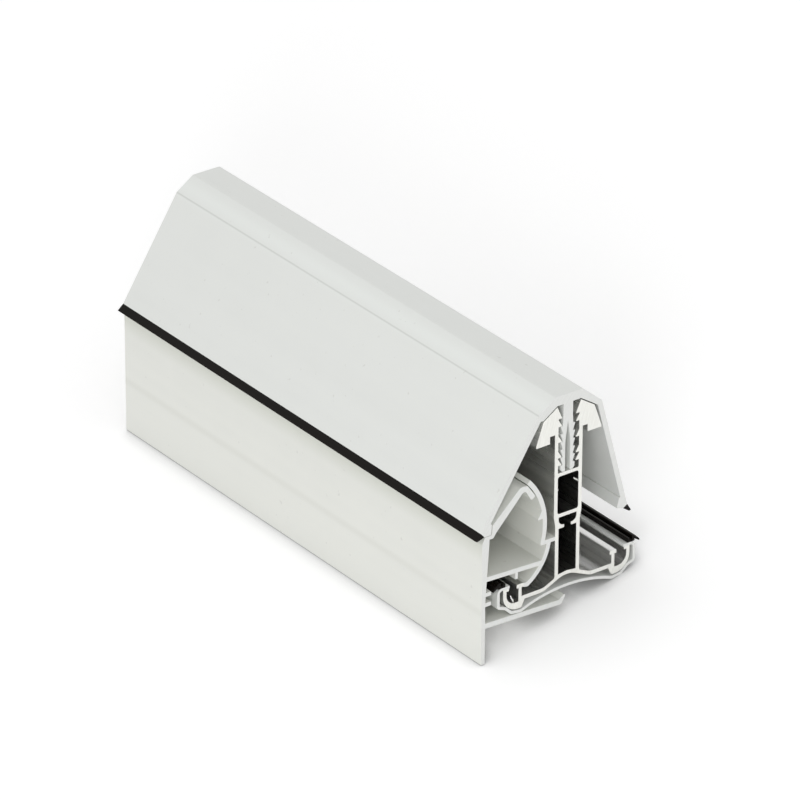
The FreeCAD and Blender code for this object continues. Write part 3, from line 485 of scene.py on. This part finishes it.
def burr_mesh(name, places, radii, around=10):
    """Rings round a bent path: ring k = path_k + r_k (cos a * side_k + sin a * y). A point closes each end."""
    path = from_section(places)
    radii = np.asarray(radii) / 1000.0
    forward = np.gradient(path, axis=0)
    forward /= np.linalg.norm(forward, axis=1, keepdims=True)
    side = np.stack([forward[:, 1], -forward[:, 0]], axis=1)
    angle = np.linspace(0.0, 2.0 * math.pi, around, endpoint=False)
    across = radii[:, None] * np.cos(angle)
    ring_x = path[:, :1] + across * side[:, :1]
    ring_z = path[:, 1:] + across * side[:, 1:]
    middle_y = NEAR_END + radii.max()
    ring_y = middle_y + radii[:, None] * np.sin(angle)
    rings = np.stack([ring_x, ring_y, ring_z], axis=2).reshape(-1, 3)
    tips = np.stack([path[[0, -1], 0], np.full(2, middle_y), path[[0, -1], 1]], axis=1)
    ring, step = np.meshgrid(np.arange(len(path) - 1), np.arange(around), indexing="ij")
    near, far = ring * around + step, ring * around + (step + 1) % around
    walls = np.stack([near, far, far + around, near + around], axis=2).reshape(-1, 4)
    turn = np.arange(around)
    after = (turn + 1) % around
    last = (len(path) - 1) * around
    first_cap = np.stack([np.full(around, len(rings)), after, turn], axis=1)
    last_cap = np.stack([np.full(around, len(rings) + 1), last + turn, last + after], axis=1)
    faces = walls.tolist() + first_cap.tolist() + last_cap.tolist()
    mesh = bpy.data.meshes.new(name)
    mesh.from_pydata(np.vstack([rings, tips]).tolist(), [], faces)
    mesh.polygons.foreach_set("use_smooth", np.ones(len(mesh.polygons), dtype=bool))
    return mesh


# %% [markdown]
# Each burr has its path and its radii in millimetres. It belongs to the aluminium, so it rides on the same body and
# takes the same finish.

# %% The three burrs
BURRS = {
    "chamber_burr_right": ([(4.7, 35.6), (3.9, 36.4), (3.2, 36.8), (2.7, 37.4)], [0.55, 0.45, 0.4, 0.2]),
    "chamber_burr_left": ([(-4.7, 34.5), (-4.3, 34.7), (-3.9, 34.6)], [0.45, 0.4, 0.15]),
    "groove_sliver": ([(-24.7, -1.0), (-24.4, -2.2), (-23.8, -3.1), (-23.5, -4.2)], [0.15, 0.3, 0.4, 0.3]),
}
for burr_name, (places, radii) in BURRS.items():
    burr = bpy.data.objects.new(burr_name, burr_mesh(burr_name, places, radii))
    burr.data.materials.append(aluminium)
    bpy.context.scene.collection.objects.link(burr)
    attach(burr, "root")
    print(burr_name, len(burr.data.polygons), "faces")


# %% [markdown]
# The bar lies on a plain white sheet, in a plain white room. The light on the bar has to stay gentle, or its
# white plastic would lose all shape, but the sheet should still look white in the picture and in the metal. So the
# sheet and the room look a little brighter to the camera and to reflections than they are as lamps: a Light Path
# node knows which kind of ray is asking. The bar's soft shadow stays, because only a small amount is added.

# %% What each kind of ray sees
def seen_or_reflected(tree, unseen, seen):
    """A strength: unseen for rays that only carry light, seen for camera, glossy and transmission rays."""
    ray = add_node(tree, "ShaderNodeLightPath")
    either = ray.outputs["Is Camera Ray"]
    for kind in ("Is Glossy Ray", "Is Transmission Ray"):
        larger = add_node(tree, "ShaderNodeMath", {"operation": "MAXIMUM"})
        tree.links.new(either, larger.inputs[0])
        tree.links.new(ray.outputs[kind], larger.inputs[1])
        either = larger.outputs[0]
    return blended(tree, either, unseen, seen, "FLOAT")


# %% [markdown]
# The sheet is one flat face under the bar. A narrow contact shadow runs round whatever touches a real sheet. An
# Ambient
# Occlusion node in the sheet's paint strengthens it with painted shadow: it says how much of the sky is open over
# each place.

# %% The sheet under the bar
FLOOR_SIZE = 6.0
FLOOR_GLOW = 0.16
PAINTED_SHADOW_WIDTH = 0.009


def grid_mesh(name, width, depth, height):
    """Four corners at (+-width / 2, +-depth / 2, height), joined in one face that points up."""
    across, along = np.meshgrid((-0.5, 0.5), (-0.5, 0.5))
    places = np.stack([across.ravel() * width, along.ravel() * depth, np.full(4, height)], axis=1)
    mesh = bpy.data.meshes.new(name)
    mesh.from_pydata(places.tolist(), [], [(0, 1, 3, 2)])
    return mesh


def make_floor_paint():
    """White with a little glow; both fade into a painted contact shadow within its width of the bar, by how much of
    the sky it hides there.
    """
    material, shader = new_material("white_floor", Roughness=0.9)
    tree = material.node_tree
    # Painted shadow: the sheet's colour and glow darken where the bar hides the sky close by.
    sky = add_node(tree, "ShaderNodeAmbientOcclusion", {"samples": 8}, {"Distance": PAINTED_SHADOW_WIDTH})
    open_sky = ranged(tree, sky.outputs["AO"], 0.0, 1.0, 0.3, 0.9)
    white = blended(tree, open_sky, (0.5, 0.5, 0.5, 1), (0.97, 0.97, 0.97, 1))
    tree.links.new(white, shader.inputs["Base Color"])
    tree.links.new(open_sky, shader.inputs["Emission Color"])
    tree.links.new(seen_or_reflected(tree, 0.0, FLOOR_GLOW), shader.inputs["Emission Strength"])
    return material


floor_paint = make_floor_paint()
floor = bpy.data.objects.new("floor", grid_mesh("floor", FLOOR_SIZE, FLOOR_SIZE, 0.0))
floor.data.materials.append(floor_paint)
bpy.context.scene.collection.objects.link(floor)
print("floor at height 0, under the bar's lowest edge at", cad_box[0][2])


# %% [markdown]
# The room is the world round the scene. It lights the bar evenly from all sides at three quarters of full white,
# and it is full white where it is seen or mirrored.

# %% The white room
ROOM_AS_LAMP = 0.75

room = bpy.data.worlds.new("studio")
room.use_nodes = True
background = room.node_tree.nodes["Background"]
background.inputs["Color"].default_value = (1.0, 1.0, 1.0, 1)
room.node_tree.links.new(seen_or_reflected(room.node_tree, ROOM_AS_LAMP, 1.0), background.inputs["Strength"])
bpy.context.scene.world = room
bpy.context.scene.view_settings.view_transform = "Standard"
print("the room gives", ROOM_AS_LAMP, "of full white as a lamp")


# %% [markdown]
# The photograph's light comes from the left: the long flank and the front board are brighter than the top. A soft
# box stands low on that side, towards the camera, and a second one hangs above, so that the top keeps its shade.

# %% The lights
def soft_box(name, place, target, size, power):
    """A square lamp at place that faces the target."""
    lamp = bpy.data.lights.new(name, "AREA")
    lamp.shape = "SQUARE"
    lamp.size = size
    lamp.energy = power
    holder = bpy.data.objects.new(name, lamp)
    facing = (Vector(target) - Vector(place)).to_track_quat("-Z", "Y")
    holder.matrix_world = Matrix.Translation(place) @ facing.to_matrix().to_4x4()
    bpy.context.scene.collection.objects.link(holder)


MIDDLE = (0.0, 0.0, 0.04)
soft_box("left_box", (-0.95, -1.1, 0.68), MIDDLE, 0.5, 5.4)
soft_box("top_box", (0.1, 0.3, 1.5), MIDDLE, 0.8, 1.9)


# %% [markdown]
# The picture is taken with a long lens from a few steps away, so that edges that run along the bar come only a
# little closer towards its far end. Two of the camera's axes are read from the picture, which way is up and which
# way leads back to the camera, and the third is square to both. The bar rests leaning on one edge, and the picture
# shows its section upright, so the camera is rolled by that lean.
#
# The lens follows from what it has to show: a strip that is PICTURE_WIDTH metres wide, seen from the distance.

# %% The camera
PICTURE_UP = Vector((0.4960, 0.3756, 0.7829))
TOWARDS_CAMERA = Vector((-0.3884, -0.7104, 0.5869))
SEEN_AT_MIDDLE = Vector((0.01567, -0.00471, 0.03557))
CAMERA_DISTANCE = 2.59
PICTURE_WIDTH = 0.29018

lens = bpy.data.cameras.new("camera")
lens.sensor_width = 36.0
lens.lens = lens.sensor_width * CAMERA_DISTANCE / PICTURE_WIDTH
lens.clip_end = 50.0
camera = bpy.data.objects.new("camera", lens)
back = TOWARDS_CAMERA.normalized()
right = PICTURE_UP.cross(back).normalized()
turned = Matrix((right, back.cross(right), back)).transposed().to_4x4()
camera.matrix_world = Matrix.Translation(SEEN_AT_MIDDLE + back * CAMERA_DISTANCE) @ turned
bpy.context.scene.collection.objects.link(camera)
bpy.context.scene.camera = camera
print("lens", round(lens.lens), "mm at", CAMERA_DISTANCE, "m")
